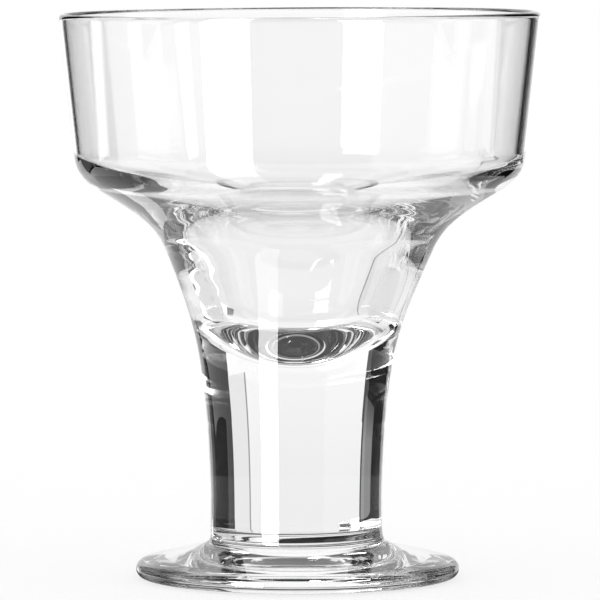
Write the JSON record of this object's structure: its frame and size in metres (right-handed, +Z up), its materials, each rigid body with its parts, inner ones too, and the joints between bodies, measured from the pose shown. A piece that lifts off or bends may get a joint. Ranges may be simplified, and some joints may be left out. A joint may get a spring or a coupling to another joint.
{
  "type": "cocktail glass",
  "caption": "Short-stemmed clear cocktail glass: wide flared cup over a thick-walled well, stout solid stem and round foot, for serving a mixed drink.",
  "frame": {"origin": "on the axis of the glass, in the plane of the foot's standing ring", "axes": "+Z up along the axis of the glass, from the foot to the rim; X and Y are free, because the glass is round"},
  "size_m": [0.108, 0.108, 0.127],
  "materials": {
    "bowl_glass": "clear, fire-polished",
    "stem_glass": "clear, pressed and polished",
    "foot_glass": "clear, pressed and polished"
  },
  "bodies": {
    "root": {"bowl": "bowl_glass", "stem": "stem_glass", "foot": "foot_glass"}
  },
  "joints": []
}
